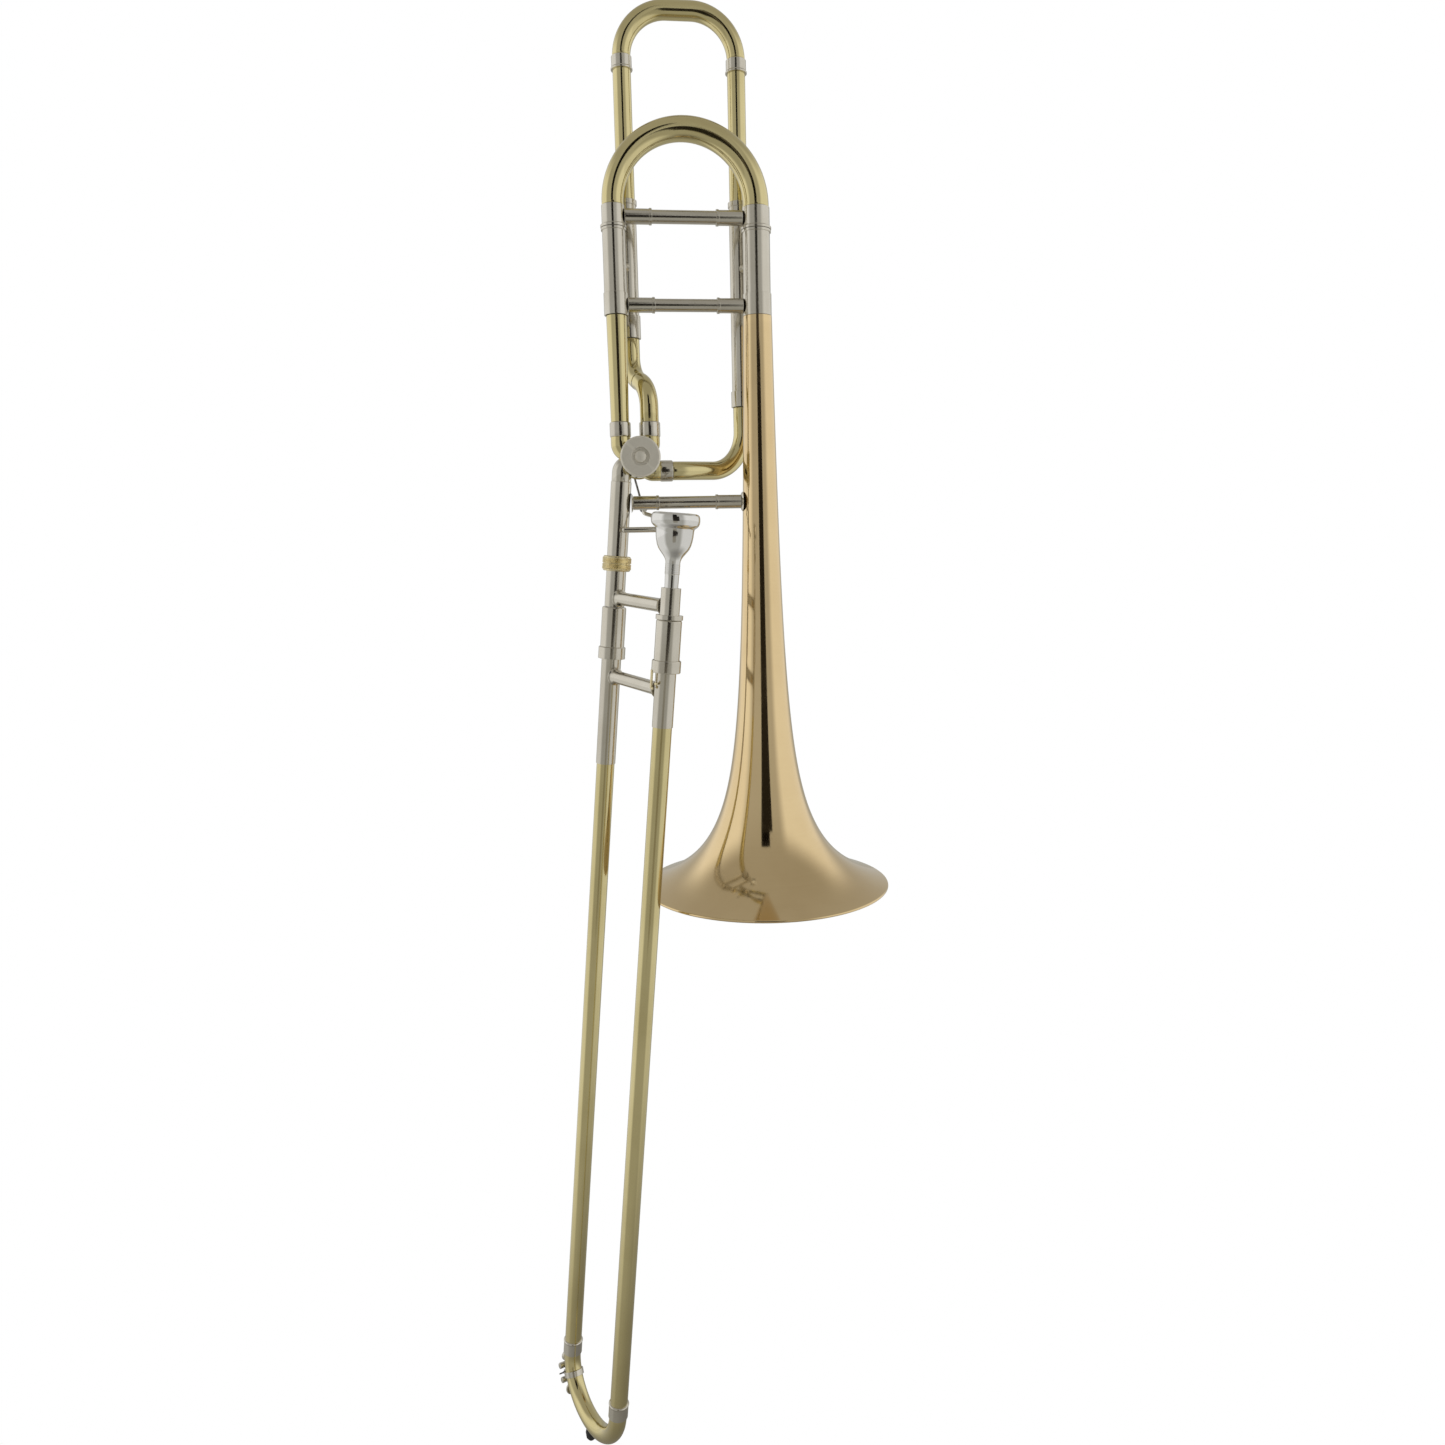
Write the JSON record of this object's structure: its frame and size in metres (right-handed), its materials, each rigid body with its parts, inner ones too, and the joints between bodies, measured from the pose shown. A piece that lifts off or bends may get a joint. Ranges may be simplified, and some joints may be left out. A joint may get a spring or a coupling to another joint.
{
  "type": "tenor trombone with F attachment",
  "caption": "Tenor trombone with open-wrap F attachment: flared bell, tuning slides, rotary valve with thumb lever, telescoping hand slide, slide lock, water key and mouthpiece.",
  "frame": {"origin": "centre of the bell mouth, in the plane where the rim bead is centred", "axes": "+Z along the bell axis towards the main tuning slide, +X from the gooseneck side to the bell side, +Y towards the F attachment"},
  "size_m": [0.3117, 0.217, 1.2662],
  "materials": {
    "yellow_brass": "lacquered yellow brass, polished",
    "gold_brass": "lacquered gold brass, polished",
    "nickel_silver": "polished nickel silver",
    "silver_plate": "bright silver plate",
    "raw_brass": "unlacquered brass, darker, knurled where gripped",
    "chromed_tube": "chrome-plated inner slide tube",
    "dark_steel": "blackened steel",
    "rubber": "matte black rubber",
    "cork": "cork"
  },
  "bodies": {
    "bell_section": {"bell": "gold_brass", "bell_sleeve": "nickel_silver", "gooseneck": "yellow_brass", "gooseneck_ferrule": "nickel_silver", "gooseneck_sleeve": "nickel_silver", "upper_brace": "nickel_silver", "lower_brace": "nickel_silver", "neck_flange": "nickel_silver", "bell_flange": "nickel_silver", "valve_casing": "yellow_brass", "valve_cap": "nickel_silver", "valve_back_plate": "yellow_brass", "stop_bumper_upper": "cork", "stop_bumper_lower": "cork", "f_out_ferrule": "nickel_silver", "f_return_ferrule": "nickel_silver", "f_s_bend": "yellow_brass", "f_return_tube": "yellow_brass", "f_sleeve_left": "nickel_silver", "f_sleeve_right": "nickel_silver", "strut_left": "nickel_silver", "strut_right": "nickel_silver", "lever_saddle": "raw_brass", "lever_pin": "dark_steel", "neckpipe": "nickel_silver"},
    "main_tuning_slide": {"main_crook": "yellow_brass", "main_leg_left": "nickel_silver", "main_leg_right": "nickel_silver", "main_slide_brace": "nickel_silver"},
    "f_tuning_slide": {"f_crook": "yellow_brass", "f_leg_left": "yellow_brass", "f_leg_right": "yellow_brass"},
    "rotor_body": {"rotor": "yellow_brass", "rotor_stop_arm": "raw_brass"},
    "lever_body": {"thumb_lever": "raw_brass", "lever_spring": "dark_steel"},
    "link_body": {"link_rod": "dark_steel"},
    "receiver_nut_body": {"receiver_nut": "raw_brass"},
    "inner_slide": {"inner_tube_neck": "chromed_tube", "inner_tube_mouth": "chromed_tube", "cork_barrel_neck": "nickel_silver", "cork_barrel_mouth": "nickel_silver", "inner_brace": "nickel_silver", "mouthpiece_receiver": "nickel_silver"},
    "slide_lock_body": {"slide_lock": "raw_brass"},
    "outer_slide": {"outer_tube_neck": "yellow_brass", "outer_tube_mouth": "yellow_brass", "outer_brace": "nickel_silver", "slide_bow": "yellow_brass", "bow_bumper": "rubber", "lock_pin": "raw_brass", "water_key_saddle": "nickel_silver", "water_key_pin": "dark_steel"},
    "water_key_body": {"water_key": "nickel_silver"},
    "mouthpiece_body": {"mouthpiece": "silver_plate"}
  },
  "joints": [
    {"name": "main_tuning_slide_pull", "type": "slide", "parent": "bell_section", "child": "main_tuning_slide", "axis": [0, 0, 1], "range_m": [0, 0.05]},
    {"name": "f_tuning_slide_pull", "type": "slide", "parent": "bell_section", "child": "f_tuning_slide", "axis": [0, 0, 1], "range_m": [0, 0.085]},
    {"name": "rotor_turn", "type": "hinge", "parent": "bell_section", "child": "rotor_body", "pos_m": [-0.102, 0, 0.373], "axis": [0, 1, 0], "range_deg": [0, 90]},
    {"name": "thumb_lever_press", "type": "hinge", "parent": "bell_section", "child": "lever_body", "pos_m": [-0.075, -0.002, 0.3245], "axis": [1, 0, 0], "range_deg": [0, 25], "stiffness_Nm_per_rad": 0.15, "springref_deg": -11.46},
    {"name": "link_tilt", "type": "hinge", "parent": "lever_body", "child": "link_body", "pos_m": [-0.0985, 0.0266, 0.333], "axis": [1, 0, 0], "range_deg": [-36, 0]},
    {"name": "receiver_nut_turn", "type": "hinge", "parent": "bell_section", "child": "receiver_nut_body", "pos_m": [-0.12379, 0.00183, 0.28672], "axis": [0.091, -0.0242, 0.9956], "continuous": true},
    {"name": "hand_slide_swivel", "type": "hinge", "parent": "bell_section", "child": "inner_slide", "pos_m": [-0.12438, 0.00199, 0.28035], "axis": [0.091, -0.0242, 0.9956], "range_deg": [-30, 5]},
    {"name": "slide_lock_turn", "type": "hinge", "parent": "inner_slide", "child": "slide_lock_body", "pos_m": [-0.0901, -0.07656, 0.2054], "axis": [0.091, -0.0242, 0.9956], "range_deg": [0, 16]},
    {"name": "hand_slide_travel", "type": "slide", "parent": "inner_slide", "child": "outer_slide", "axis": [-0.091, 0.0242, -0.9956], "range_m": [0, 0.6]},
    {"name": "water_key_press", "type": "hinge", "parent": "outer_slide", "child": "water_key_body", "pos_m": [-0.1971, 0.02609, -0.48444], "axis": [-0.888, -0.4544, 0.0701], "range_deg": [0, 22], "stiffness_Nm_per_rad": 0.03, "springref_deg": -17.19},
    {"name": "mouthpiece_pull", "type": "slide", "parent": "inner_slide", "child": "mouthpiece_body", "axis": [0.091, -0.0242, 0.9956], "range_m": [0, 0.03]}
  ],
  "couplings": [
    {"joint": "rotor_turn", "follows": "thumb_lever_press", "ratio": 3.6},
    {"joint": "link_tilt", "follows": "thumb_lever_press", "ratio": -1.416}
  ]
}
